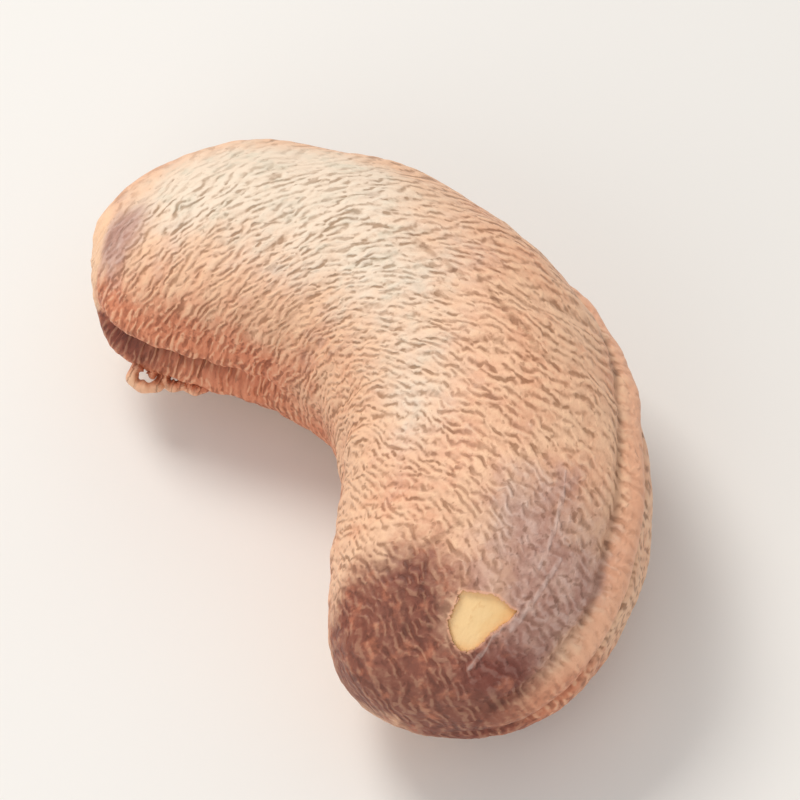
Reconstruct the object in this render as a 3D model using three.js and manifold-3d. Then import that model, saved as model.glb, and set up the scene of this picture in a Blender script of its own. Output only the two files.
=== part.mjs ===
// A roasted, salted cashew nut still in its brown skin, in millimetres, +Z up.
// The nut lies on its side: the slim arm points to -X, the broad arm to +X, the rounded back
// to +Y and the hollow of the bend to -Y. The origin is under its middle, on the surface.
import * as THREE from "three";
import { mergeVertices } from "three/addons/utils/BufferGeometryUtils.js";
import Module from "manifold-3d";

const wasm = await Module();
wasm.setup();

// Plan of the nut, seen from above. Each tip has a place, the way its edge turns into the back,
// and how far that edge runs on towards the back and the hollow before it bends.
const SLIM_TIP = { x: -13.4, y: -4.7, turn: 142, back: 9.0, hollow: 8.2 };
const BROAD_TIP = { x: 11.5, y: -6.0, turn: 34, back: 10.3, hollow: 9.3 };
const BACK_PULLS = [
  [-8.7, 16.1],
  [11.3, 18.0],
];
const HOLLOW_PULLS = [
  [-6.4, 1.4],
  [1.2, 7.0],
];

// Section across the nut: a soft box, flatter underneath, where it lies.
const RISE = 6.9;
const DROP = 6.1;
const SLIM_ARM_SHARE = 0.86;
const SLIM_UNDER_SHARE = 0.72;
const RISE_BLUNTNESS = 2.6;
const DROP_BLUNTNESS = 3.2;
const SQUARENESS = 2.3;
const FLAT_DEPTH = 0.45;

// The raised rib along the back, with a groove on each side.
// It climbs towards the upper face on the broad arm and drops again at the tip.
const RIB = { height: 0.3, half: 0.66, grooveAt: 1.14, grooveHalf: 0.28, groove: 0.18 };
const RIB_CLIMB = { degrees: 31, middle: 0.67, half: 0.18 };
const RIB_END = { degrees: -8, from: 0.84, to: 0.95 };

// The crease along the hollow side, where the two halves of the nut meet, and its lips.
const CREASE = { degrees: 187, depth: 0.85, half: 0.5, lipAt: 1.25, lipHalf: 0.55, lip: 0.28 };
const CREASE_SLIM_END = [0.05, 0.14];
const CREASE_BROAD_END = [0.46, 0.3];

// Folds of the skin that fan out from the bend, and the low dents that roasting leaves.
const FOLDS = { height: 0.06, count: 17, from: 0.18, to: 0.8, spread: 62, sway: 1.6 };
const DENT_HEIGHT = 0.12;

const SKIN_WALL = 0.4;
const SKIN_GAP = 0.2;

// Places where the skin has flaked off. Each has its middle on the surface, as a share of the
// way from the slim tip to the broad one and an angle round the section from the back, and a
// ragged outline laid on the surface there: first along the nut, then outwards across it.
const FACE_CHIP = {
  along: 0.855,
  degrees: 70,
  outline: [
    [-0.55, -1.45],
    [-0.95, -0.8],
    [-1.25, -0.15],
    [-1.15, 0.4],
    [-1.2, 0.85],
    [-0.7, 0.8],
    [-0.2, 0.6],
    [0.2, 0.45],
    [0.85, 0.35],
    [1.3, 0.15],
    [1.4, -0.3],
    [1.15, -0.8],
    [0.7, -1.2],
    [0.1, -1.3],
  ],
};
const BACK_CHIP = {
  along: 0.22,
  degrees: -30,
  outline: [
    [-2.3, -0.9],
    [-2.5, 0.1],
    [-1.9, 0.8],
    [-1.0, 1.05],
    [-0.5, 1.5],
    [0.4, 1.35],
    [1.1, 1.6],
    [1.9, 0.9],
    [2.2, 0.2],
    [1.8, -0.5],
    [1.9, -1.3],
    [0.9, -1.5],
    [0.2, -1.2],
    [-0.7, -1.6],
    [-1.6, -1.3],
  ],
};
const CHIP_REACH = 1.4;

const OUTER_GRID = { rows: 76, columns: 42 };
const INNER_GRID = { rows: 46, columns: 26 };

// Columns follow the rib and the crease, and stand closer together on them.
const COLUMN_CROWDING = 0.33;

const radians = THREE.MathUtils.degToRad;
const hump = (x) => Math.exp(-x * x);
const ramp = (x, from, to) => THREE.MathUtils.smoothstep((x - from) / (to - from), 0, 1);
const wrapped = (angle) => Math.atan2(Math.sin(angle), Math.cos(angle));

// A point of the Bezier curve that a list of points pulls on.
function curvePoint(points, share) {
  let left = points.map(([x, y]) => new THREE.Vector2(x, y));
  while (left.length > 1) {
    left = left.slice(1).map((point, i) => left[i].clone().lerp(point, share));
  }
  return left[0];
}

// The point that pulls a tip's edge towards the back, or towards the hollow for a minus reach.
function tipPull(tip, reach) {
  const turn = radians(tip.turn);
  return [tip.x + reach * Math.cos(turn), tip.y + reach * Math.sin(turn)];
}

function planCurve(slimReach, pulls, broadReach) {
  return [
    [SLIM_TIP.x, SLIM_TIP.y],
    tipPull(SLIM_TIP, slimReach),
    ...pulls,
    tipPull(BROAD_TIP, broadReach),
    [BROAD_TIP.x, BROAD_TIP.y],
  ];
}

const BACK_CURVE = planCurve(SLIM_TIP.back, BACK_PULLS, BROAD_TIP.back);
const HOLLOW_CURVE = planCurve(-SLIM_TIP.hollow, HOLLOW_PULLS, -BROAD_TIP.hollow);

// Half the nut's thickness at one share of its length.
function halfThickness(along, upper) {
  const over = THREE.MathUtils.lerp(SLIM_ARM_SHARE, 1, ramp(along, 0.1, 0.6));
  const under = THREE.MathUtils.lerp(SLIM_UNDER_SHARE, 1, ramp(along, 0, 0.3));
  const bluntness = upper ? RISE_BLUNTNESS : DROP_BLUNTNESS;
  const middle = upper ? RISE * over : DROP * under;
  return middle * (1 - Math.abs(2 * along - 1) ** bluntness);
}

// The smooth form of the nut. The angle is 0 on the back and half a turn on the hollow side.
function formPoint(along, angle) {
  const back = curvePoint(BACK_CURVE, along);
  const hollow = curvePoint(HOLLOW_CURVE, along);
  const c = Math.cos(angle);
  const s = Math.sin(angle);
  const reach = (Math.abs(c) ** SQUARENESS + Math.abs(s) ** SQUARENESS) ** (-1 / SQUARENESS);
  const plan = hollow.lerp(back, (1 + reach * c) / 2);
  return new THREE.Vector3(plan.x, plan.y, reach * s * halfThickness(along, s > 0));
}

// The way a tip points, a quarter turn from where its edge sets off.
function tipDirection(tip, quarter) {
  const turn = radians(tip.turn + quarter);
  return new THREE.Vector3(Math.cos(turn), Math.sin(turn), 0);
}

// The outward direction of the smooth form.
function formNormal(along, angle) {
  if (along === 0) {
    return tipDirection(SLIM_TIP, 90);
  }
  if (along === 1) {
    return tipDirection(BROAD_TIP, -90);
  }
  const step = 1e-3;
  const lengthways = formPoint(along + step, angle).sub(formPoint(along - step, angle));
  const around = formPoint(along, angle + step).sub(formPoint(along, angle - step));
  return around.cross(lengthways).normalize();
}

// Distance round the section from a line on the surface, in millimetres.
function distanceFrom(degrees, along, angle) {
  return wrapped(angle - radians(degrees)) * halfThickness(along, true);
}

// The angle at which the rib runs, in degrees.
function ribDegrees(along) {
  const climb = RIB_CLIMB.degrees * hump((along - RIB_CLIMB.middle) / RIB_CLIMB.half);
  return climb + RIB_END.degrees * ramp(along, RIB_END.from, RIB_END.to);
}

function ribHeight(along, angle) {
  const distance = Math.abs(distanceFrom(ribDegrees(along), along, angle));
  const rib = RIB.height * hump(distance / RIB.half);
  const grooves = RIB.groove * hump((distance - RIB.grooveAt) / RIB.grooveHalf);
  return (rib - grooves) * ramp(along, 0.02, 0.1) * ramp(along, 0.985, 0.9);
}

function creaseHeight(along, angle) {
  const distance = Math.abs(distanceFrom(CREASE.degrees, along, angle));
  const fade = ramp(along, ...CREASE_SLIM_END) * ramp(along, ...CREASE_BROAD_END);
  const lips = CREASE.lip * hump((distance - CREASE.lipAt) / CREASE.lipHalf);
  return (lips - CREASE.depth * hump(distance / CREASE.half)) * fade;
}

function foldHeight(along, angle) {
  const fade = ramp(along, FOLDS.from, FOLDS.from + 0.1) * ramp(along, FOLDS.to, FOLDS.to - 0.1);
  const nearBend = hump(wrapped(angle - Math.PI) / radians(FOLDS.spread));
  const sway = FOLDS.sway * Math.sin(3 * angle + 9 * along);
  return FOLDS.height * Math.sin(2 * Math.PI * FOLDS.count * along + sway) * nearBend * fade;
}

function dentHeight({ x, y, z }) {
  const long = Math.sin(0.62 * x + 0.9 * z + 0.4) * Math.sin(0.71 * y - 0.5 * z + 1.1);
  const short = Math.sin(1.35 * x - 0.8 * y + 2.0) * Math.sin(1.2 * z + 0.6 * x);
  return DENT_HEIGHT * (long + 0.6 * short) * ramp(z, -RISE, -1);
}

// The angle of a grid column that would stand at an even turn round the section.
function columnAngle(along, turn) {
  const onRib = (1 + Math.cos(turn)) / 2;
  const lean = radians(ribDegrees(along) * onRib + (CREASE.degrees - 180) * (1 - onRib));
  return turn - COLUMN_CROWDING * Math.sin(2 * turn) + lean;
}

// A closed surface round the nut, let in below the outside by a depth.
// The relief gives the height of the surface over the smooth form.
function closedSurface({ rows, columns }, relief, depth) {
  const points = [];
  const place = (along, angle) => {
    const point = formPoint(along, angle);
    const height = relief(along, angle, point) - depth;
    points.push(point.addScaledVector(formNormal(along, angle), height));
  };
  place(0, 0);
  for (let row = 1; row < rows; row += 1) {
    for (let column = 0; column < columns; column += 1) {
      place(row / rows, columnAngle(row / rows, (2 * Math.PI * column) / columns));
    }
  }
  place(1, 0);

  const faces = [];
  const last = points.length - 1;
  for (let column = 0; column < columns; column += 1) {
    const next = (column + 1) % columns;
    faces.push(0, 1 + next, 1 + column);
    for (let row = 0; row < rows - 2; row += 1) {
      const here = 1 + row * columns;
      const beyond = here + columns;
      faces.push(here + column, here + next, beyond + column);
      faces.push(here + next, beyond + next, beyond + column);
    }
    faces.push(last - columns + column, last - columns + next, last);
  }
  return new THREE.BufferGeometry().setFromPoints(points).setIndex(faces);
}

// Sets the geometry down on the plane z = floor, flattened where it would go below it.
function flattened(geometry, floor) {
  const position = geometry.getAttribute("position");
  for (let i = 0; i < position.count; i += 1) {
    position.setZ(i, Math.max(position.getZ(i), floor));
  }
  return geometry;
}

function solidFrom(geometry) {
  const merged = mergeVertices(geometry, 1e-4);
  return new wasm.Manifold(
    new wasm.Mesh({
      numProp: 3,
      vertProperties: new Float32Array(merged.getAttribute("position").array),
      triVerts: new Uint32Array(merged.index.array),
    }),
  );
}

function geometryFrom(solid) {
  const mesh = solid.getMesh();
  const geometry = new THREE.BufferGeometry();
  geometry.setAttribute("position", new THREE.BufferAttribute(mesh.vertProperties, 3));
  geometry.setIndex(new THREE.BufferAttribute(mesh.triVerts, 1));
  geometry.computeVertexNormals();
  return geometry;
}

// A prism of the chip's outline, standing through the skin.
function chipCutter({ along, degrees, outline }) {
  const angle = radians(degrees);
  const step = 1e-3;
  const outward = formNormal(along, angle);
  const lengthways = formPoint(along + step, angle).sub(formPoint(along - step, angle));
  lengthways.addScaledVector(outward, -lengthways.dot(outward)).normalize();
  const across = outward.clone().cross(lengthways);
  const prism = new THREE.ExtrudeGeometry(
    new THREE.Shape(outline.map(([x, y]) => new THREE.Vector2(x, y))),
    { depth: 2 * CHIP_REACH, bevelEnabled: false },
  );
  prism.deleteAttribute("normal");
  prism.deleteAttribute("uv");
  prism.translate(0, 0, -CHIP_REACH);
  const turned = new THREE.Matrix4().makeBasis(lengthways, across, outward);
  prism.applyMatrix4(turned.setPosition(formPoint(along, angle)));
  return solidFrom(prism);
}

const outerRelief = (along, angle, point) =>
  ribHeight(along, angle) +
  creaseHeight(along, angle) +
  foldHeight(along, angle) +
  dentHeight(point);
const innerRelief = (along, angle, point) => creaseHeight(along, angle) + dentHeight(point);

const outside = closedSurface(OUTER_GRID, outerRelief, 0);
outside.computeBoundingBox();
const floor = outside.boundingBox.min.z + FLAT_DEPTH;
flattened(outside, floor);

function skinGeometry() {
  const inside = closedSurface(INNER_GRID, innerRelief, SKIN_WALL);
  const hollow = solidFrom(flattened(inside, floor + SKIN_WALL));
  const shell = solidFrom(outside).subtract(hollow);
  return geometryFrom(shell.subtract(chipCutter(FACE_CHIP)).subtract(chipCutter(BACK_CHIP)));
}

function kernelGeometry() {
  const depth = SKIN_WALL + SKIN_GAP;
  return flattened(closedSurface(INNER_GRID, innerRelief, depth), floor + depth);
}

const skinMaterial = new THREE.MeshStandardMaterial({
  color: 0xb98468,
  roughness: 0.82,
  metalness: 0,
});
const kernelMaterial = new THREE.MeshStandardMaterial({
  color: 0xefc887,
  roughness: 0.5,
  metalness: 0,
});

const skin = new THREE.Mesh(skinGeometry(), skinMaterial);
skin.name = "skin";
const kernel = new THREE.Mesh(kernelGeometry(), kernelMaterial);
kernel.name = "kernel";

// The origin is the middle of the nut's base.
const size = new THREE.Box3().setFromBufferAttribute(outside.getAttribute("position"));
const middle = size.getCenter(new THREE.Vector3());
const cashew = new THREE.Group();
cashew.add(kernel, skin);
cashew.position.set(-middle.x, -middle.y, -floor);

export default cashew;
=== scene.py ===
"""A roasted, salted cashew nut in its brown skin, lying on a pale surface."""

import math
import random

import bmesh
import bpy
import numpy as np
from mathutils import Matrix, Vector, kdtree


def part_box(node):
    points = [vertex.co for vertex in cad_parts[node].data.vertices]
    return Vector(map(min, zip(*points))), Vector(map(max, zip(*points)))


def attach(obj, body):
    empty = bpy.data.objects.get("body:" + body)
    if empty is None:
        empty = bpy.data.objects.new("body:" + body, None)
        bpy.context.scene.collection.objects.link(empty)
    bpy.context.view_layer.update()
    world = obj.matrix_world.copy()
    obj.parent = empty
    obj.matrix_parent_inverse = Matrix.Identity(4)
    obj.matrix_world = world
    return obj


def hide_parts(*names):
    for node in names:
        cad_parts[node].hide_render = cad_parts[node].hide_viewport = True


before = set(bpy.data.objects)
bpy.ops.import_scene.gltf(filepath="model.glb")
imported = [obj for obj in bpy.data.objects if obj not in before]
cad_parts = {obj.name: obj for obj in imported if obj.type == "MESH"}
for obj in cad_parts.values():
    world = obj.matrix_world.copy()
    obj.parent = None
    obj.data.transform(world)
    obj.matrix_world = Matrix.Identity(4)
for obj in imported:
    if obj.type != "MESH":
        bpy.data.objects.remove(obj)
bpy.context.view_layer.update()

# Lengths of the nut are in millimetres, as in the plan they come from, until a mesh is made.
MM = 0.001

# Plan of the nut, seen from above: the two tips and the points that pull on its edges.
SLIM_TIP = {"place": (-13.4, -4.7), "turn": 142, "back": 9.0, "hollow": 8.2}
BROAD_TIP = {"place": (11.5, -6.0), "turn": 34, "back": 10.3, "hollow": 9.3}
BACK_PULLS = [(-8.7, 16.1), (11.3, 18.0)]
HOLLOW_PULLS = [(-6.4, 1.4), (1.2, 7.0)]

# Section across the nut.
RISE = 6.9
DROP = 6.1
SLIM_ARM_SHARE = 0.86
SLIM_UNDER_SHARE = 0.72
RISE_BLUNTNESS = 2.6
DROP_BLUNTNESS = 3.2
SQUARENESS = 2.3

# The rib along the back, the crease in the hollow, and the folds round the bend.
RIB = {"height": 0.3, "half": 0.66, "groove_at": 1.14, "groove_half": 0.28, "groove": 0.18}
RIB_CLIMB = {"degrees": 31, "middle": 0.67, "half": 0.18}
RIB_END = {"degrees": -8, "from": 0.84, "to": 0.95}
CREASE = {"degrees": 187, "depth": 0.85, "half": 0.5, "lip_at": 1.25, "lip_half": 0.55, "lip": 0.28}
CREASE_SLIM_END = (0.05, 0.14)
CREASE_BROAD_END = (0.46, 0.30)
FOLDS = {"height": 0.06, "count": 17, "from": 0.18, "to": 0.8, "spread": 62, "sway": 1.6}
DENT_HEIGHT = 0.12

# Thin lines on the skin, each by its share of the length and its degrees round the nut.
PALE_LINES = [
    [(0.775, 56), (0.81, 57), (0.85, 57.5)],
    [(0.83, 60.5), (0.865, 62), (0.90, 60)],
    [(0.70, 64), (0.74, 62.5), (0.79, 62)],
]
DARK_LINES = [
    [(0.42, 86), (0.45, 87), (0.495, 85)],
    [(0.50, 79), (0.53, 79.5), (0.56, 76), (0.60, 69)],
    [(0.77, 97), (0.80, 109), (0.815, 113)],
    [(0.80, 106), (0.84, 103), (0.875, 92)],
    [(0.805, 112), (0.85, 111), (0.89, 103)],
]

# Where the skin has flaked off, as in the plan of the nut.
FACE_CHIP = {
    "along": 0.855,
    "degrees": 70,
    "outline": [
        (-0.55, -1.45), (-0.95, -0.8), (-1.25, -0.15), (-1.15, 0.4), (-1.2, 0.85),
        (-0.7, 0.8), (-0.2, 0.6), (0.2, 0.45), (0.85, 0.35), (1.3, 0.15), (1.4, -0.3),
        (1.15, -0.8), (0.7, -1.2), (0.1, -1.3),
    ],
}
BACK_CHIP = {
    "along": 0.22,
    "degrees": -30,
    "outline": [
        (-2.3, -0.9), (-2.5, 0.1), (-1.9, 0.8), (-1.0, 1.05), (-0.5, 1.5), (0.4, 1.35),
        (1.1, 1.6), (1.9, 0.9), (2.2, 0.2), (1.8, -0.5), (1.9, -1.3), (0.9, -1.5),
        (0.2, -1.2), (-0.7, -1.6), (-1.6, -1.3),
    ],
}
CHIPS = (FACE_CHIP, BACK_CHIP)

# A cutter reaches this far through the skin, and fine teeth stray from a chip's outline.
CHIP_REACH = 1.2
CHIP_TEETH = 6
CHIP_JITTER = 0.035

# The skin lifts slightly round a chip. Past its region, a chip counts as far away.
CHIP_LIFT = {"height": 0.05, "half": 0.35}
CHIP_REGION = 5.0
NO_CHIP_NEAR = 9.0

# Loose skin that has rolled up on the lip of the crease, in rolls that lie side by side.
# A roll spirals from its first radius to its last, and wavers, strays and swells on the way.
ROLLS = [
    {"along": 0.188, "degrees": 210, "lift": 0.40, "turns": (-0.2, 1.05), "radii": (0.74, 0.24)},
    {"along": 0.228, "degrees": 209, "lift": 0.02, "turns": (-0.1, 0.8), "radii": (0.5, 0.24)},
    {"along": 0.262, "degrees": 208, "lift": -0.12, "turns": (0.0, 0.6), "radii": (0.42, 0.3)},
]
ROLL = {"thick": 0.24, "wide": 0.5, "waver": 0.08, "stray": 0.14, "swell": 0.12, "corners": 0.15}
ROLL_ROWS, ROLL_COLUMNS = 90, 20

# The skin is thin where its edge shows, and thickens between two distances from a chip.
# The kernel lies a small gap under its thin edge.
SKIN_EDGE = 0.11
SKIN_DEEP = 0.5
KERNEL_GAP = 0.03
THINNING = (0.4, 2.5)

# Stains of the skin, and painted shade under the slim arm and along the crease, each by its share
# of the length and its degrees round the nut, its reach along and round the nut, and its strength. Where
# it is smooth, the crinkles show less.
STAINS_AND_PAINTED_SHADE = {
    "cream": [
        (0.20, 82, 0.13, 36, 1.0),
        (0.31, 66, 0.12, 22, 0.7),
        (0.42, 108, 0.14, 30, 0.85),
        (0.63, 122, 0.11, 20, 0.55),
        (0.75, 78, 0.06, 12, 0.5),
        (0.45, -80, 0.2, 40, 0.8),
        (0.72, -120, 0.1, 30, 0.6),
    ],
    "red": [
        (0.20, 168, 0.17, 22, 1.0),
        (0.10, 148, 0.05, 18, 0.6),
        # Deeper red under the slim arm: partly the skin's colour, partly painted shade.
        (0.22, 204, 0.22, 22, 1.2),
        (0.36, 172, 0.12, 12, 0.5),
        (0.55, 200, 0.2, 18, 0.5),
        (0.72, 116, 0.07, 20, 0.4),
        (0.80, 176, 0.12, 22, 0.5),
        (0.30, -40, 0.15, 25, 0.7),
        (0.87, -30, 0.09, 30, 0.9),
        (0.86, 6, 0.06, 14, 0.8),
        (0.66, -60, 0.1, 30, 0.6),
    ],
    "mauve": [
        (0.83, 48, 0.10, 22, 1.1),
        (0.77, 76, 0.07, 20, 0.65),
        (0.10, 106, 0.05, 30, 1.1),
        (0.84, -70, 0.08, 30, 0.8),
    ],
    "maroon": [
        (1.0, 100, 0.1, 150, 1.3),
        (0.865, 108, 0.06, 24, 0.9),
        (0.87, 150, 0.05, 26, 0.3),
        (0.815, 126, 0.035, 26, 0.25),
        (0.91, 45, 0.05, 24, 0.7),
        (0.97, -20, 0.07, 45, 1.0),
        # Painted shade on the lower lip near the slim tip.
        (0.07, 206, 0.06, 14, 0.9),
        (0.93, 160, 0.05, 40, 0.6),
        # Painted shade in a narrow band along the crease.
        (0.15, 196, 0.08, 9, 0.8),
    ],
    "smooth": [
        (0.15, 62, 0.10, 26, 1.0),
        (0.29, 56, 0.09, 16, 0.8),
        (0.79, 70, 0.05, 14, 0.7),
        (0.60, -75, 0.15, 30, 0.6),
    ],
}

# What each point of the skin keeps for its pattern.
SURFACE_VALUES = ("lie", "rib", "crease", "flake", "pale_line", "dark_line", *STAINS_AND_PAINTED_SHADE)

# What the distance from the rib or the crease grows by where that line has faded out.
FADED = 3

# Rows and columns of the surfaces, along and round the nut. Those of the plan set its place.
PLAN_ROWS, PLAN_COLUMNS = 76, 42
SKIN_ROWS, SKIN_COLUMNS = 384, 224
INNER_ROWS, INNER_COLUMNS = 110, 64
KERNEL_ROWS, KERNEL_COLUMNS = 170, 100
COLUMN_CROWDING = 0.33
SHARP_DEGREES = 55


def hump(x):
    """1 in the middle, falling away smoothly on both sides."""
    return np.exp(-np.square(x))


def ramp(x, start, end):
    """0 at the start, 1 at the end, smooth between them."""
    share = np.clip((x - start) / (end - start), 0, 1)
    return share * share * (3 - 2 * share)


def wrapped(angle):
    """The same angle, given between minus and plus half a turn."""
    return np.arctan2(np.sin(angle), np.cos(angle))


def curve_points(points, share):
    """Points of the Bezier curve that a list of points pulls on."""
    left = [np.outer(np.ones_like(share), point) for point in points]
    while len(left) > 1:
        left = [a + (b - a) * share[:, None] for a, b in zip(left, left[1:])]
    return left[0]


def plan_curve(slim_reach, pulls, broad_reach):
    """The pulling points of one edge of the plan, from tip to tip."""
    def pulled(tip, reach):
        turn = math.radians(tip["turn"])
        x, y = tip["place"]
        return (x + reach * math.cos(turn), y + reach * math.sin(turn))

    inner = [pulled(SLIM_TIP, slim_reach), *pulls, pulled(BROAD_TIP, broad_reach)]
    return [SLIM_TIP["place"], *inner, BROAD_TIP["place"]]


BACK_CURVE = plan_curve(SLIM_TIP["back"], BACK_PULLS, BROAD_TIP["back"])
HOLLOW_CURVE = plan_curve(-SLIM_TIP["hollow"], HOLLOW_PULLS, -BROAD_TIP["hollow"])


def half_thickness(along, upper):
    """Half the nut's thickness, above or below its middle."""
    over = SLIM_ARM_SHARE + (1 - SLIM_ARM_SHARE) * ramp(along, 0.1, 0.6)
    under = SLIM_UNDER_SHARE + (1 - SLIM_UNDER_SHARE) * ramp(along, 0.0, 0.3)
    bluntness = np.where(upper, RISE_BLUNTNESS, DROP_BLUNTNESS)
    middle = np.where(upper, RISE * over, DROP * under)
    return middle * (1 - np.abs(2 * along - 1) ** bluntness)


def section(along, angle):
    """The two edges of the plan and the section's reach, sideways and upwards."""
    back = curve_points(BACK_CURVE, along)
    hollow = curve_points(HOLLOW_CURVE, along)
    c, s = np.cos(angle), np.sin(angle)
    reach = (np.abs(c) ** SQUARENESS + np.abs(s) ** SQUARENESS) ** (-1 / SQUARENESS)
    return back, hollow, reach * c, reach * s * half_thickness(along, s > 0)


def form_points(along, angle):
    """The smooth form. The angle is 0 on the back and half a turn on the hollow side."""
    back, hollow, sideways, up = section(along, angle)
    plan = hollow + (back - hollow) * ((1 + sideways) / 2)[:, None]
    return np.column_stack([plan, up])


def form_normals(along, angle):
    """Outward directions of the smooth form. At a tip it is the way the tip points."""
    step = 1e-3
    inside = np.clip(along, step, 1 - step)
    lengthways = form_points(inside + step, angle) - form_points(inside - step, angle)
    around = form_points(inside, angle + step) - form_points(inside, angle - step)
    normal = np.cross(around, lengthways)
    for share, tip, quarter in ((0, SLIM_TIP, 90), (1, BROAD_TIP, -90)):
        turn = math.radians(tip["turn"] + quarter)
        normal[along == share] = (math.cos(turn), math.sin(turn), 0)
    return normal / np.linalg.norm(normal, axis=1, keepdims=True)


def straightened(along, angle):
    """Places on the nut as if its bend were straightened out, for patterns that follow it."""
    back, hollow, sideways, up = section(along, angle)
    shares = np.linspace(0, 1, 400)
    middle = (curve_points(BACK_CURVE, shares) + curve_points(HOLLOW_CURVE, shares)) / 2
    steps = np.linalg.norm(np.diff(middle, axis=0), axis=1)
    length = np.interp(along, shares, np.concatenate([[0], np.cumsum(steps)]))
    half_width = np.linalg.norm(back - hollow, axis=1) / 2
    return np.column_stack([length, sideways * half_width, up])


def distance_from(degrees, along, angle):
    """Distance round the section from a line on the surface."""
    return np.abs(wrapped(angle - np.radians(degrees))) * half_thickness(along, True)


def rib_degrees(along):
    climb = RIB_CLIMB["degrees"] * hump((along - RIB_CLIMB["middle"]) / RIB_CLIMB["half"])
    return climb + RIB_END["degrees"] * ramp(along, RIB_END["from"], RIB_END["to"])


def rib_distance(along, angle):
    return distance_from(rib_degrees(along), along, angle)


def rib_presence(along):
    return ramp(along, 0.02, 0.1) * ramp(along, 0.985, 0.9)


def crease_presence(along):
    return ramp(along, *CREASE_SLIM_END) * ramp(along, *CREASE_BROAD_END)


def rib_height(along, angle):
    distance = rib_distance(along, angle)
    rib = RIB["height"] * hump(distance / RIB["half"])
    grooves = RIB["groove"] * hump((distance - RIB["groove_at"]) / RIB["groove_half"])
    return (rib - grooves) * rib_presence(along)


def crease_height(along, angle):
    distance = distance_from(CREASE["degrees"], along, angle)
    lips = CREASE["lip"] * hump((distance - CREASE["lip_at"]) / CREASE["lip_half"])
    floor = CREASE["depth"] * hump(distance / CREASE["half"])
    return (lips - floor) * crease_presence(along)


def fold_height(along, angle):
    first, last = FOLDS["from"], FOLDS["to"]
    fade = ramp(along, first, first + 0.1) * ramp(along, last, last - 0.1)
    near_bend = hump(wrapped(angle - math.pi) / math.radians(FOLDS["spread"]))
    sway = FOLDS["sway"] * np.sin(3 * angle + 9 * along)
    waves = np.sin(2 * math.pi * FOLDS["count"] * along + sway)
    return FOLDS["height"] * waves * near_bend * fade


def dent_height(points):
    x, y, z = points.T
    long = np.sin(0.62 * x + 0.9 * z + 0.4) * np.sin(0.71 * y - 0.5 * z + 1.1)
    short = np.sin(1.35 * x - 0.8 * y + 2.0) * np.sin(1.2 * z + 0.6 * x)
    return DENT_HEIGHT * (long + 0.6 * short) * ramp(z, -RISE, -1)


def line_distance(lines, points):
    """Distance of each point from the nearest of these lines on the surface."""
    spots = []
    for line in lines:
        places = np.array(line)
        shares = np.linspace(0, len(line) - 1, 60 * len(line))
        marks = np.arange(len(line))
        along = np.interp(shares, marks, places[:, 0])
        angle = np.radians(np.interp(shares, marks, places[:, 1]))
        spot = form_points(along, angle)
        spots.append(spot + form_normals(along, angle) * relief(along, angle, spot)[:, None])
    spots = np.vstack(spots)
    tree = kdtree.KDTree(len(spots))
    for index, spot in enumerate(spots):
        tree.insert(spot, index)
    tree.balance()
    return np.array([tree.find(point)[2] for point in points])


def stain_and_shade_cover(marks, along, angle):
    """How strongly a set of stains and painted shade covers each place."""
    total = np.zeros_like(along)
    for share, degrees, length, girth, strength in marks:
        round_nut = wrapped(angle - math.radians(degrees)) / math.radians(girth)
        total += strength * hump((along - share) / length) * hump(round_nut)
    return total


def chip_frame(chip):
    """The middle of a chip on the surface, and the three directions there."""
    along, angle = np.array([chip["along"]]), np.array([math.radians(chip["degrees"])])
    step = 1e-3
    outward = form_normals(along, angle)[0]
    lengthways = (form_points(along + step, angle) - form_points(along - step, angle))[0]
    lengthways -= outward * lengthways.dot(outward)
    lengthways /= np.linalg.norm(lengthways)
    return form_points(along, angle)[0], lengthways, np.cross(outward, lengthways), outward


def ragged(outline):
    """A chip's outline with fine teeth between its given points."""
    draw = random.Random(len(outline))
    points = []
    for start, end in zip(outline, outline[1:] + outline[:1]):
        for tooth in range(CHIP_TEETH):
            share = tooth / CHIP_TEETH
            points.append([
                start[axis] + (end[axis] - start[axis]) * share + draw.gauss(0, CHIP_JITTER)
                for axis in (0, 1)
            ])
    return np.array(points)


def outline_distance(outline, points):
    """Distance in the plane from an outline, minus inside it."""
    ends = np.roll(outline, -1, axis=0)
    nearest = np.full(len(points), np.inf)
    inside = np.zeros(len(points), bool)
    x, y = points.T
    for (ax, ay), (bx, by) in zip(outline, ends):
        dx, dy = bx - ax, by - ay
        share = np.clip(((x - ax) * dx + (y - ay) * dy) / (dx * dx + dy * dy), 0, 1)
        nearest = np.minimum(nearest, np.hypot(x - ax - share * dx, y - ay - share * dy))
        crosses = (ay > y) != (by > y)
        rise = by - ay if by != ay else 1.0
        inside ^= crosses & (x < ax + (y - ay) * dx / rise)
    return np.where(inside, -nearest, nearest)


def chip_distance(points):
    """Distance over the surface from the nearest chip, minus inside it."""
    nearest = np.full(len(points), NO_CHIP_NEAR)
    for chip in CHIPS:
        middle, lengthways, across, outward = chip_frame(chip)
        offset = points - middle
        flat = np.column_stack([offset @ lengthways, offset @ across])
        far = np.linalg.norm(offset, axis=1) > CHIP_REGION
        distance = outline_distance(np.array(chip["outline"]), flat)
        nearest = np.minimum(nearest, np.where(far, NO_CHIP_NEAR, distance))
    return nearest


def column_angles(along, turn):
    """Grid columns that follow the rib and the crease and crowd together on them."""
    on_rib = (1 + np.cos(turn)) / 2
    lean = np.radians(rib_degrees(along) * on_rib + (CREASE["degrees"] - 180) * (1 - on_rib))
    return turn - COLUMN_CROWDING * np.sin(2 * turn) + lean


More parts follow.
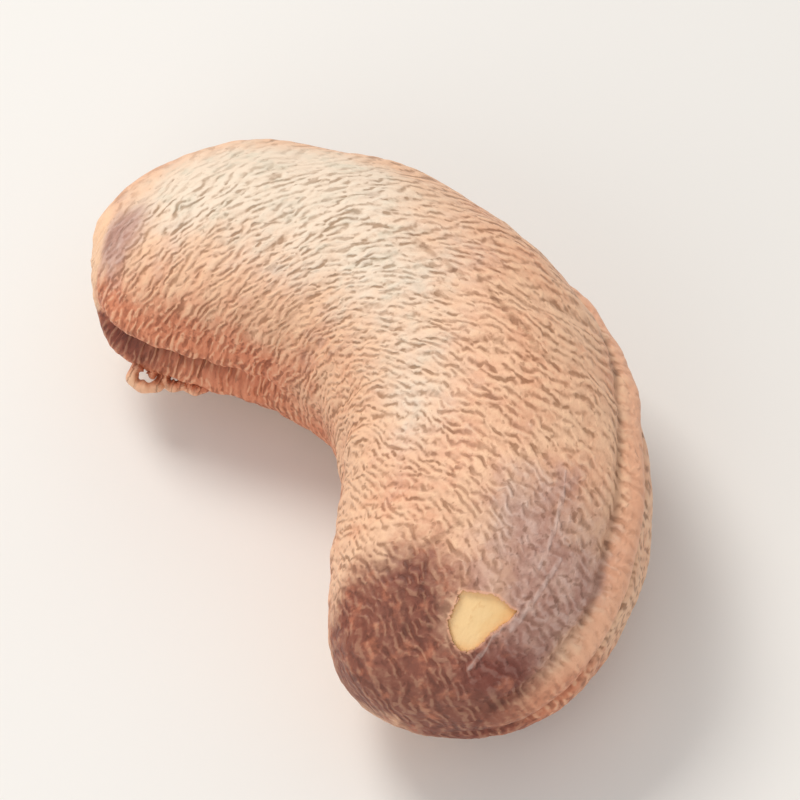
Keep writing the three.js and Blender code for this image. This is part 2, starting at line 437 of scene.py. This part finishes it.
def grid(rows, columns):
    """Shares along and angles round the nut for a closed grid, and its faces."""
    inner = np.arange(1, rows) / rows
    turns = 2 * math.pi * np.arange(columns) / columns
    along, turn = (a.ravel() for a in np.meshgrid(inner, turns, indexing="ij"))
    along = np.concatenate([[0.0], along, [1.0]])
    angle = np.concatenate([[0.0], column_angles(along[1:-1], turn), [0.0]])
    last = len(along) - 1
    faces = []
    for column in range(columns):
        after = (column + 1) % columns
        faces.append((0, 1 + after, 1 + column))
        faces.append((last - columns + column, last - columns + after, last))
    for row in range(rows - 2):
        here = 1 + row * columns
        for column in range(columns):
            after = (column + 1) % columns
            faces.append((here + column, here + after, here + columns + after, here + columns + column))
    return along, angle, faces


def relief(along, angle, points):
    """The height of the nut's main relief over its smooth form."""
    height = rib_height(along, angle) + crease_height(along, angle)
    return height + fold_height(along, angle) + dent_height(points)


def skin_depth(points, edge):
    """How far a layer lies under the surface: little near a chip, more elsewhere."""
    return edge + (SKIN_DEEP - SKIN_EDGE) * ramp(chip_distance(points), *THINNING)


def seat():
    """What brings the form to its place: the middle of its base at the frame's origin."""
    along, angle, _ = grid(PLAN_ROWS, PLAN_COLUMNS)
    points = form_points(along, angle)
    points += form_normals(along, angle) * relief(along, angle, points)[:, None]
    low, high = points.min(0), points.max(0)
    cad_low, cad_high = (np.array(corner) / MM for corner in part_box("skin"))
    shift = (cad_low + cad_high) / 2 - (low + high) / 2
    shift[2] = cad_high[2] - high[2]
    return shift


SEAT = seat()


def made_mesh(name, points, faces):
    """An object of these points, brought to its place in the frame."""
    mesh = bpy.data.meshes.new(name)
    mesh.from_pydata(((points + SEAT) * MM).tolist(), [], faces)
    piece = bpy.data.objects.new(name, mesh)
    bpy.context.scene.collection.objects.link(piece)
    return piece


def add_attribute(mesh, name, values):
    kind = "FLOAT_VECTOR" if values.ndim == 2 else "FLOAT"
    attribute = mesh.attributes.new(name, kind, "POINT")
    key = "vector" if values.ndim == 2 else "value"
    attribute.data.foreach_set(key, values.astype(np.float32).ravel())


def read_attribute(mesh, name):
    attribute = mesh.attributes[name]
    vector = attribute.data_type == "FLOAT_VECTOR"
    values = np.zeros(len(mesh.vertices) * (3 if vector else 1), np.float32)
    attribute.data.foreach_get("vector" if vector else "value", values)
    return values.reshape(-1, 3) if vector else values


def baked(piece):
    """The piece with its modifiers made part of its mesh."""
    depsgraph = bpy.context.evaluated_depsgraph_get()
    mesh = bpy.data.meshes.new_from_object(piece.evaluated_get(depsgraph), depsgraph=depsgraph)
    piece.modifiers.clear()
    piece.data = mesh
    return piece


class Value:
    """A node's output that takes part in an expression."""

    def __init__(self, nodes, socket):
        self.nodes = nodes
        self.socket = socket

    def _math(self, operation, *values):
        return self.nodes.add("ShaderNodeMath", {"operation": operation}, dict(enumerate(values)))

    def __add__(self, other):
        return self._math("ADD", self, other)

    __radd__ = __add__

    def __sub__(self, other):
        return self._math("SUBTRACT", self, other)

    def __rsub__(self, other):
        return self._math("SUBTRACT", other, self)

    def __mul__(self, other):
        return self._math("MULTIPLY", self, other)

    __rmul__ = __mul__

    def __abs__(self):
        return self._math("ABSOLUTE", self)

    def sine(self):
        return self._math("SINE", self)


class Nodes:
    """Adds nodes to one tree, for a material or for a shape."""

    def __init__(self, tree):
        self.tree = tree

    def add(self, kind, settings=None, inputs=None, output=0):
        node = self.tree.nodes.new(kind)
        for name, value in (settings or {}).items():
            setattr(node, name, value)
        for name, value in (inputs or {}).items():
            if isinstance(value, Value):
                self.tree.links.new(value.socket, node.inputs[name])
            else:
                node.inputs[name].default_value = value
        return Value(self, node.outputs[output]) if len(node.outputs) else node

    def noise(self, vector, scale, detail=3.0, roughness=0.55, distortion=0.0):
        return self.add(
            "ShaderNodeTexNoise",
            {"noise_dimensions": "3D"},
            {"Vector": vector, "Scale": scale, "Detail": detail, "Roughness": roughness,
             "Distortion": distortion},
        )

    def stretched(self, vector, factors):
        return self.add("ShaderNodeVectorMath", {"operation": "MULTIPLY"}, {0: vector, 1: factors})

    def between(self, value, start, end):
        """0 at start, 1 at end, smooth between them."""
        return self.add(
            "ShaderNodeMapRange",
            {"interpolation_type": "SMOOTHSTEP"},
            {"Value": value, "From Min": start, "From Max": end, "To Min": 0.0, "To Max": 1.0},
        )

    def parts(self, vector):
        node = self.add("ShaderNodeSeparateXYZ", None, {0: vector})
        return [Value(self, socket) for socket in node.socket.node.outputs]


# Fine relief of the skin: crinkles that slant over the nut, wider puckers, and a fine grain.
# The sink lowers it all, so that its peaks stay within the nut's size.
CRINKLE_SIZES = {
    "Crinkle Height": 0.022,
    "Pucker Height": 0.18,
    "Grain Height": 0.012,
    "Sink": 0.05,
}

# Two sets of crinkles lean across the nut in patches, sideways and upwards. At size 1 they
# turn by this many radians for each millimetre. The sway is broad and the shake is short.
CRINKLE_LEANS = ((-1.1, -0.5), (-0.3, -0.1))
CRINKLE_TURN = 4.5
CRINKLE_SWAY = 1.8
CRINKLE_SHAKE = 1.6
COARSE, FINE = 1.0, 0.37


class Surface(Nodes):
    """Nodes for the patterns that the skin's relief and its colours share."""

    def crinkles(self, lie, size):
        """1 on the crinkles and -1 between them, nearer 0 where the skin is smooth."""
        length, sideways, up = self.parts(lie)
        sway = (self.noise(lie, 0.3, 2.0) - 0.5) * CRINKLE_SWAY
        shake = (self.noise(lie, 0.55 / size, 2.0) - 0.5) * (CRINKLE_SHAKE * size)
        turn = CRINKLE_TURN / size
        first, second = (
            ((length + sideways * lean[0] + up * lean[1] + sway + shake) * turn).sine()
            for lean in CRINKLE_LEANS
        )
        patch = self.between(self.noise(lie, 0.65 / size, 1.0), 0.42, 0.56)
        rough = self.between(self.noise(lie, 0.8 / size, 1.0, 0.5, 0.5), 0.38, 0.58) * 0.8 + 0.2
        return (second + (first - second * 0.8) * patch) * rough


def relief_tree():
    """Geometry nodes that raise the fine relief out of a surface of the nut."""
    tree = bpy.data.node_groups.new("skin_relief", "GeometryNodeTree")
    tree.interface.new_socket("Geometry", in_out="INPUT", socket_type="NodeSocketGeometry")
    tree.interface.new_socket("Geometry", in_out="OUTPUT", socket_type="NodeSocketGeometry")
    for name in CRINKLE_SIZES:
        tree.interface.new_socket(name, in_out="INPUT", socket_type="NodeSocketFloat")
    tree.interface.new_socket("Material", in_out="INPUT", socket_type="NodeSocketMaterial")
    nodes = Surface(tree)
    start = tree.nodes.new("NodeGroupInput")
    entry = {socket.name: Value(nodes, socket) for socket in start.outputs if socket.name}

    def kept(name, kind="FLOAT"):
        return nodes.add("GeometryNodeInputNamedAttribute", {"data_type": kind}, {"Name": name})

    lie = kept("lie", "FLOAT_VECTOR")
    crinkle = nodes.crinkles(lie, COARSE)
    grain = nodes.crinkles(lie, FINE)
    pucker = nodes.noise(nodes.stretched(lie, (0.55, 0.3, 0.3)), 1.0, 2.0) - 0.5
    calm = nodes.between(kept("rib"), 0.4, 1.8) * 0.7 + 0.3
    calm = calm * (nodes.between(kept("flake"), 0.0, 0.6) * 0.6 + 0.4)
    height = crinkle * entry["Crinkle Height"] * calm + pucker * entry["Pucker Height"]
    height = height + grain * entry["Grain Height"] - entry["Sink"]
    offset = nodes.add("ShaderNodeVectorMath", {"operation": "SCALE"}, {
        0: nodes.add("GeometryNodeInputNormal"),
        "Scale": height * MM,
    })
    moved = nodes.add("GeometryNodeSetPosition", None, {
        "Geometry": entry["Geometry"],
        "Offset": offset,
    })
    real = nodes.add("GeometryNodeRealizeInstances", None, {"Geometry": moved})
    dressed = nodes.add("GeometryNodeSetMaterial", None, {
        "Geometry": real,
        "Material": entry["Material"],
    })
    end = tree.nodes.new("NodeGroupOutput")
    tree.links.new(dressed.socket, end.inputs["Geometry"])
    return tree


def raised(piece, tree, material, crinkled):
    """Runs the relief nodes on a piece and makes their result its mesh."""
    modifier = piece.modifiers.new("relief", "NODES")
    modifier.node_group = tree
    sockets = {item.name: item.identifier for item in tree.interface.items_tree if item.in_out == "INPUT"}
    for name, size in CRINKLE_SIZES.items():
        left_smooth = not crinkled and name in ("Crinkle Height", "Grain Height")
        modifier[sockets[name]] = 0.0 if left_smooth else size
    modifier[sockets["Material"]] = material
    return baked(piece)


def chip_cutter(chip):
    """A prism of the chip's ragged outline, standing through the skin."""
    middle, lengthways, across, outward = chip_frame(chip)
    outline = ragged(chip["outline"])
    flat = middle + outline[:, :1] * lengthways + outline[:, 1:] * across
    points = np.vstack([flat - outward * CHIP_REACH, flat + outward * CHIP_REACH])
    count = len(outline)
    ahead = np.roll(outline, -1, axis=0)
    turns_left = np.sum(outline[:, 0] * ahead[:, 1] - outline[:, 1] * ahead[:, 0]) > 0
    floor, lid = list(range(count)), list(range(count, 2 * count))
    faces = [floor[::-1], lid]
    faces += [(i, (i + 1) % count, count + (i + 1) % count, count + i) for i in range(count)]
    if not turns_left:
        faces = [face[::-1] for face in faces]
    mesh = bpy.data.meshes.new("chip_cutter")
    mesh.from_pydata(((points + SEAT) * MM).tolist(), [], [tuple(face) for face in faces])
    cutter = bpy.data.objects.new("chip_cutter", mesh)
    bpy.context.scene.collection.objects.link(cutter)
    triangulate(cutter.data)
    return cutter


def skin_roll(roll):
    """A strip of skin rolled up along a spiral that stands on the lip."""
    middle, lengthways, across, outward = chip_frame(roll)
    shares = np.linspace(0, 1, ROLL_ROWS + 1)
    first, last = (2 * math.pi * turn for turn in roll["turns"])
    turn = first + (last - first) * shares
    radius = roll["radii"][0] + (roll["radii"][1] - roll["radii"][0]) * shares
    radius = radius * (1 + ROLL["waver"] * np.sin(3 * turn + 1))
    away = np.cos(turn)[:, None] * lengthways + np.sin(turn)[:, None] * outward
    path = middle + roll["lift"] * outward + radius[:, None] * away
    path += ROLL["stray"] * np.sin(2.3 * turn)[:, None] * across
    body = (1 - (2 * shares - 1) ** 6) ** 0.5 * (1 + ROLL["swell"] * np.sin(6 * turn))
    round_tube = 2 * math.pi * np.arange(ROLL_COLUMNS) / ROLL_COLUMNS
    corners = 1 + ROLL["corners"] * np.sin(3 * round_tube)
    thick = ROLL["thick"] * np.cos(round_tube) * corners
    wide = ROLL["wide"] * np.sin(round_tube)
    points = [path[:1]]
    for row in range(1, ROLL_ROWS):
        points.append(path[row] + body[row] * (np.outer(thick, away[row]) + np.outer(wide, across)))
    points.append(path[-1:])
    _, _, faces = grid(ROLL_ROWS, ROLL_COLUMNS)
    piece = made_mesh("skin_roll", np.vstack(points), faces)
    edit = bmesh.new()
    edit.from_mesh(piece.data)
    bmesh.ops.recalc_face_normals(edit, faces=edit.faces)
    edit.to_mesh(piece.data)
    edit.free()
    set_down(piece.data, 0.0)
    return piece


def triangulate(mesh):
    edit = bmesh.new()
    edit.from_mesh(mesh)
    bmesh.ops.triangulate(edit, faces=edit.faces)
    edit.to_mesh(mesh)
    edit.free()


def combined(piece, others, operation):
    """Joins other solids to a piece, or takes them out of it, and removes them."""
    for other in others:
        modifier = piece.modifiers.new("solid", "BOOLEAN")
        modifier.operation = operation
        modifier.solver = "MANIFOLD"
        modifier.object = other
    baked(piece)
    for other in others:
        bpy.data.objects.remove(other)
    return piece


def give_surface_values(mesh, known):
    """Gives each vertex the pattern values of the nearest point of the uncut surface."""
    tree = kdtree.KDTree(len(known["place"]))
    for index, place in enumerate(known["place"]):
        tree.insert(place, index)
    tree.balance()
    found = [tree.find(vertex.co) for vertex in mesh.vertices]
    nearest = np.array([index for _, index, _ in found])
    add_attribute(mesh, "loose", np.array([distance for _, _, distance in found]) / MM)
    for name in SURFACE_VALUES:
        if name in mesh.attributes:
            mesh.attributes.remove(mesh.attributes[name])
        add_attribute(mesh, name, known[name][nearest])


def set_down(mesh, floor):
    """Flattens what would reach below a height, given in metres."""
    for vertex in mesh.vertices:
        vertex.co.z = max(vertex.co.z, floor)


def inner_layer(name, tree, material, size, depth):
    """A closed surface of the nut under its outside, by the depth that a layer has at its edge."""
    along, angle, faces = grid(*size)
    points = form_points(along, angle)
    height = relief(along, angle, points) - skin_depth(points, depth)
    layer = made_mesh(name, points + form_normals(along, angle) * height[:, None], faces)
    add_attribute(layer.data, "lie", straightened(along, angle))
    add_attribute(layer.data, "rib", rib_distance(along, angle))
    add_attribute(layer.data, "flake", chip_distance(points))
    raised(layer, tree, material, crinkled=False)
    set_down(layer.data, depth * MM)
    return layer


def made_skin(tree, material):
    """The skin: finely crinkled outside, thin at its broken edges, open at the chips."""
    along, angle, faces = grid(SKIN_ROWS, SKIN_COLUMNS)
    points = form_points(along, angle)
    flake = chip_distance(points)
    lift = CHIP_LIFT["height"] * hump(flake / CHIP_LIFT["half"])
    height = relief(along, angle, points) + lift
    outside = points + form_normals(along, angle) * height[:, None]
    skin = made_mesh("nut_skin", outside, faces)
    add_attribute(skin.data, "lie", straightened(along, angle))
    add_attribute(skin.data, "rib", rib_distance(along, angle) + FADED * (1 - rib_presence(along)))
    creased = distance_from(CREASE["degrees"], along, angle)
    add_attribute(skin.data, "crease", creased + FADED * (1 - crease_presence(along)))
    add_attribute(skin.data, "flake", flake)
    add_attribute(skin.data, "pale_line", line_distance(PALE_LINES, outside))
    add_attribute(skin.data, "dark_line", line_distance(DARK_LINES, outside))
    for name, marks in STAINS_AND_PAINTED_SHADE.items():
        add_attribute(skin.data, name, stain_and_shade_cover(marks, along, angle))
    raised(skin, tree, material, crinkled=True)
    set_down(skin.data, 0.0)
    known = {name: read_attribute(skin.data, name) for name in SURFACE_VALUES}
    known["place"] = [vertex.co.copy() for vertex in skin.data.vertices]

    inside = inner_layer("skin_inside", tree, material, (INNER_ROWS, INNER_COLUMNS), SKIN_EDGE)
    combined(skin, [skin_roll(roll) for roll in ROLLS], "UNION")
    combined(skin, [inside, *(chip_cutter(chip) for chip in CHIPS)], "DIFFERENCE")
    give_surface_values(skin.data, known)
    return skin


def made_kernel(tree, material):
    """The kernel, close under the skin where the chips show it."""
    size = (KERNEL_ROWS, KERNEL_COLUMNS)
    return inner_layer("nut_kernel", tree, material, size, SKIN_EDGE + KERNEL_GAP)


def tint(red, green, blue):
    """A colour given as it looks on a screen, from 0 to 255, as the shader reads it."""
    return tuple(((part / 255 + 0.055) / 1.055) ** 2.4 for part in (red, green, blue))


CREAM = tint(240, 224, 204)
CHALK = tint(214, 212, 194)
TAN = tint(238, 192, 158)
SALMON = tint(232, 164, 126)
RUSSET = tint(214, 130, 94)
MAUVE = tint(174, 128, 116)
LILAC = tint(206, 168, 154)
MAROON = tint(118, 46, 30)
BRICK = tint(182, 104, 74)
PEACH = tint(246, 182, 146)
GLOW = tint(248, 204, 166)
ASH = tint(226, 200, 190)
DUSK = (0.47, 0.385, 0.315)


class Paint(Surface):
    """The nodes of one material, ending in its shader."""

    def __init__(self, name):
        self.material = bpy.data.materials.new(name)
        self.material.use_nodes = True
        super().__init__(self.material.node_tree)
        self.shader = self.tree.nodes["Principled BSDF"]

    def kept(self, name, vector=False):
        """What each point keeps under this name."""
        return self.add("ShaderNodeAttribute", {"attribute_name": name}, None, 1 if vector else 2)

    def mix(self, share, first, second, blend="MIX"):
        """The first colour, or the second where the share is 1."""
        start, end = ((*colour, 1) if isinstance(colour, tuple) else colour for colour in (first, second))
        settings = {"data_type": "RGBA", "blend_type": blend}
        return self.add("ShaderNodeMix", settings, {0: share, 6: start, 7: end}, 2)

    @property
    def lie(self):
        """The place on the nut as if its bend were straightened out."""
        return self.kept("lie", vector=True)

    def shaded(self, colour):
        """The colour as it looks in a groove."""
        return self.mix(1.0, colour, DUSK, "MULTIPLY")

    def finish(self, **links):
        """Joins these outputs to the shader's inputs of the same names."""
        for socket, value in links.items():
            self.tree.links.new(value.socket, self.shader.inputs[socket.replace("_", " ").title()])
        return self.material


# Where each set of stains and painted shade begins to show and where it covers fully.
STAIN_AND_SHADE_EDGES = {
    "cream": (0.1, 1.0),
    "red": (0.05, 0.9),
    "mauve": (0.05, 0.95),
    "maroon": (0.05, 0.85),
    "smooth": (0.1, 0.9),
}


def stain_and_shade_colour(paint, cover, mottle, cloud):
    """The skin under its crinkles: tan to salmon, dusted with salt, with stains and with painted shade
    under the slim arm and along the crease.
    """
    colour = paint.mix(paint.between(mottle, 0.38, 0.68) * 0.7, TAN, SALMON)
    # Red and maroon carry the skin's stains and also the painted shade under the slim arm and along the
    # crease.
    colour = paint.mix(cover["red"] * 0.95, colour, RUSSET)
    salted = paint.mix(paint.between(cloud, 0.48, 0.68) * 0.6, CREAM, CHALK)
    colour = paint.mix(cover["cream"] * 0.85, colour, salted)
    greyed = paint.mix(paint.between(cloud, 0.4, 0.66), MAUVE, LILAC)
    colour = paint.mix(cover["mauve"] * 0.9, colour, greyed)
    darkened = paint.mix(paint.between(cloud, 0.5, 0.72) * 0.8, MAROON, BRICK)
    return paint.mix(cover["maroon"] * 0.9, colour, darkened)


def crinkled_colour(paint, colour, cover, relief, broken):
    """The same with painted shade as darker dashes between the crinkles, a painted highlight with salt on
    them, and darker specks.
    """
    calm = (1.0 - cover["mauve"] * 0.45) * (1.0 - cover["smooth"] * 0.6) * (1.0 - cover["maroon"] * 0.3)
    shaded = paint.shaded(colour)
    # Painted shade: the valleys between the crinkles take the colour as it looks in a groove.
    valley_shade = paint.between(relief, 0.25, -0.95) * (broken * 0.4 + 0.6)
    colour = paint.mix(valley_shade * calm, colour, shaded)
    # Painted highlight on the crinkles' ridges, paler still where salt lies on them.
    ridge_highlight_and_salt = paint.between(relief, -0.1, 0.9) * (cover["cream"] * 0.2 + 0.5)
    ridge_highlight_and_salt = ridge_highlight_and_salt * (1.0 - cover["maroon"] * 0.5)
    ridge_highlight_and_salt_colour = paint.mix(cover["mauve"], paint.mix(cover["cream"], GLOW, CREAM), ASH)
    colour = paint.mix(ridge_highlight_and_salt * calm, colour, ridge_highlight_and_salt_colour)
    spotted = paint.noise(paint.lie, 3.0, 2.0, 0.5) + (cover["red"] + cover["mauve"]) * 0.07
    return paint.mix(paint.between(spotted, 0.64, 0.76) * 0.65, colour, shaded)


def bare_colour(paint, colour, cover, relief, cloud):
    """The same with the paler slim tip and loose skin, and the rib's pale band, partly a painted
    highlight.
    """
    length = paint.parts(paint.lie)[0]
    tip = paint.between(length + (cloud - 0.5) * 0.6, 0.85, 0.5)
    loose = paint.between(paint.kept("loose"), 0.15, 0.6)
    colour = paint.mix(tip * 0.8 + loose * 0.6, colour, GLOW)
    # The rib's pale band: partly its own paler colour, partly a painted highlight along its raised top.
    on_rib = paint.between(paint.kept("rib") + relief * 0.12 + (cloud - 0.5) * 0.9, 1.05, 0.45)
    on_rib = on_rib * (0.66 - cover["maroon"] * 0.5) * (1.0 - cover["red"] * 0.4)
    return paint.mix(on_rib, colour, PEACH)


def lined_colour(paint, colour, dark_line, pale_line, broken):
    """The same with painted shade in the grooves beside the rib and in the crease, the thin lines and the
    chips' pale edges.
    """
    # Painted shade: the grooves and the crease are darkened as they look in shade; the thin lines are the
    # skin's own marks.
    groove = paint.between(abs(paint.kept("rib") - RIB["groove_at"]), 0.3, 0.03)
    crease = paint.between(paint.kept("crease"), 0.7, 0.15)
    lines = groove * (broken * 0.4 + 0.15) + crease * 0.8 + dark_line * 0.55
    colour = paint.mix(lines, colour, paint.shaded(colour))
    colour = paint.mix(pale_line * 0.45, colour, ASH)
    edge = paint.between(paint.kept("flake"), 0.12, 0.02)
    return paint.mix(edge * 0.5, colour, PEACH)


def skin_material():
    """Papery roasted skin: brown with stains, dusted with salt, with painted shade between its crinkles
    and a painted highlight on them.
    """
    paint = Paint("papery_brown_skin")
    lie = paint.lie
    mottle = paint.noise(lie, 0.42, 5.0, 0.62)
    cloud = paint.noise(lie, 1.3, 4.0, 0.6)
    waver = (mottle - 0.5) * 1.1 + (cloud - 0.5) * 0.5
    cover = {
        name: paint.between(paint.kept(name) + waver, *edges)
        for name, edges in STAIN_AND_SHADE_EDGES.items()
    }
    coarse = paint.crinkles(lie, COARSE)
    fine = paint.crinkles(lie, FINE)
    grain = paint.noise(lie, 7.0, 3.0, 0.6)
    broken = paint.between(paint.noise(lie, 0.8, 3.0, 0.6), 0.34, 0.62)
    relief = fine * 0.9 + coarse * 0.25 + (grain - 0.5) * 0.9
    dark_line = paint.between(paint.kept("dark_line") + (cloud - 0.5) * 0.5, 0.2, 0.03)
    pale_line = paint.between(paint.kept("pale_line") + (cloud - 0.5) * 0.25, 0.14, 0.03)

    colour = stain_and_shade_colour(paint, cover, mottle, cloud)
    colour = crinkled_colour(paint, colour, cover, relief, broken)
    colour = bare_colour(paint, colour, cover, relief, cloud)
    colour = lined_colour(paint, colour, dark_line, pale_line, broken)
    heights = fine * 0.13 + grain * 0.12 + (pale_line - dark_line) * 0.12
    bump = paint.add("ShaderNodeBump", None, {"Strength": 1.0, "Distance": 0.0002, "Height": heights})
    roughness = cover["cream"] * 0.15 + grain * 0.2 + 0.46 - cover["mauve"] * 0.06
    return paint.finish(base_color=colour, roughness=roughness, normal=bump)


def kernel_material():
    """Roasted kernel: pale yellow, golden in patches, with a fine grain."""
    paint = Paint("roasted_kernel")
    pale, golden, toasted = tint(246, 208, 150), tint(240, 184, 110), tint(206, 138, 70)
    cloud = paint.noise(paint.lie, 0.5, 3.0, 0.5)
    grain = paint.noise(paint.stretched(paint.lie, (1.2, 3.0, 3.0)), 1.0, 3.0, 0.6)
    colour = paint.mix(paint.between(cloud, 0.38, 0.66), pale, golden)
    colour = paint.mix(paint.between(grain, 0.6, 0.75) * 0.3, colour, toasted)
    bump = paint.add("ShaderNodeBump", None, {"Strength": 0.4, "Distance": 0.0001, "Height": grain})
    return paint.finish(base_color=colour, roughness=cloud * 0.2 + 0.35, normal=bump)


def floor_material():
    """A pale, matt surface with hardly a cloud in it."""
    paint = Paint("pale_surface")
    place = paint.add("ShaderNodeTexCoord", None, None, 3)
    cloud = paint.noise(place, 14.0, 3.0)
    colour = paint.mix(cloud, (0.80, 0.79, 0.77), (0.86, 0.855, 0.84))
    return paint.finish(base_color=colour, roughness=cloud * 0.1 + 0.5)


def made_floor():
    mesh = bpy.data.meshes.new("surface")
    half = 1.5
    corners = [(-half, -half, 0), (half, -half, 0), (half, half, 0), (-half, half, 0)]
    mesh.from_pydata(corners, [], [(0, 1, 2, 3)])
    floor = bpy.data.objects.new("surface", mesh)
    mesh.materials.append(floor_material())
    bpy.context.scene.collection.objects.link(floor)


# The camera looks down on the nut as the photograph does, and sees it with the same turn.
VIEW_TURN, VIEW_RISE = 57.0, 58.0
VIEW_WIDTH = 0.0325
LENS, SENSOR = 400.0, 36.0


def view_directions():
    """Towards the camera, to its right, and up in its picture."""
    turn, rise = math.radians(VIEW_TURN), math.radians(VIEW_RISE)
    towards = Vector((
        math.sin(turn) * math.cos(rise),
        -math.cos(turn) * math.cos(rise),
        math.sin(rise),
    ))
    right = Vector((math.cos(turn), math.sin(turn), 0))
    return towards, right, towards.cross(right)


def made_camera(target):
    towards, _, _ = view_directions()
    data = bpy.data.cameras.new("camera")
    data.lens, data.sensor_width = LENS, SENSOR
    data.clip_start, data.clip_end = 0.005, 5.0
    camera = bpy.data.objects.new("camera", data)
    camera.rotation_mode = "QUATERNION"
    camera.location = target + towards * (VIEW_WIDTH * LENS / SENSOR)
    camera.rotation_quaternion = towards.to_track_quat("Z", "Y")
    bpy.context.scene.collection.objects.link(camera)
    bpy.context.scene.camera = camera


# Soft square lights, by how far they stand left of the nut, up in the picture and above it.
LIGHTS = {
    "key": {"place": (0.10, 0.10, 0.22), "size": 0.10, "power": 0.34, "colour": (1.0, 0.96, 0.9)},
    "fill": {"place": (0.12, -0.2, 0.16), "size": 0.2, "power": 0.15, "colour": (1.0, 0.97, 0.94)},
}
SKY = {"colour": (0.98, 0.965, 0.95), "strength": 0.61}


def made_light(name, lamp, target):
    _, right, _ = view_directions()
    away = Vector((0, 0, 1)).cross(right)
    data = bpy.data.lights.new(name, "AREA")
    data.size, data.energy, data.color = lamp["size"], lamp["power"], lamp["colour"]
    light = bpy.data.objects.new(name, data)
    left, up, high = lamp["place"]
    light.location = target - right * left + away * up + Vector((0, 0, high))
    light.rotation_mode = "QUATERNION"
    light.rotation_quaternion = (light.location - target).to_track_quat("Z", "Y")
    bpy.context.scene.collection.objects.link(light)


def made_world():
    world = bpy.data.worlds.new("studio")
    world.use_nodes = True
    background = world.node_tree.nodes["Background"]
    background.inputs["Color"].default_value = (*SKY["colour"], 1)
    background.inputs["Strength"].default_value = SKY["strength"]
    bpy.context.scene.world = world


def main():
    low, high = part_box("skin")
    middle = (low + high) / 2
    made_camera(middle)
    made_world()
    for name, lamp in LIGHTS.items():
        made_light(name, lamp, middle)
    made_floor()

    tree = relief_tree()
    skin = made_skin(tree, skin_material())
    kernel = made_kernel(tree, kernel_material())
    for piece, node in ((skin, "skin"), (kernel, "kernel")):
        piece.data.shade_smooth()
        piece.data.set_sharp_from_angle(angle=math.radians(SHARP_DEGREES))
        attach(piece, "root")
        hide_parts(node)
    settings = bpy.context.scene.view_settings
    settings.view_transform = "Standard"


main()
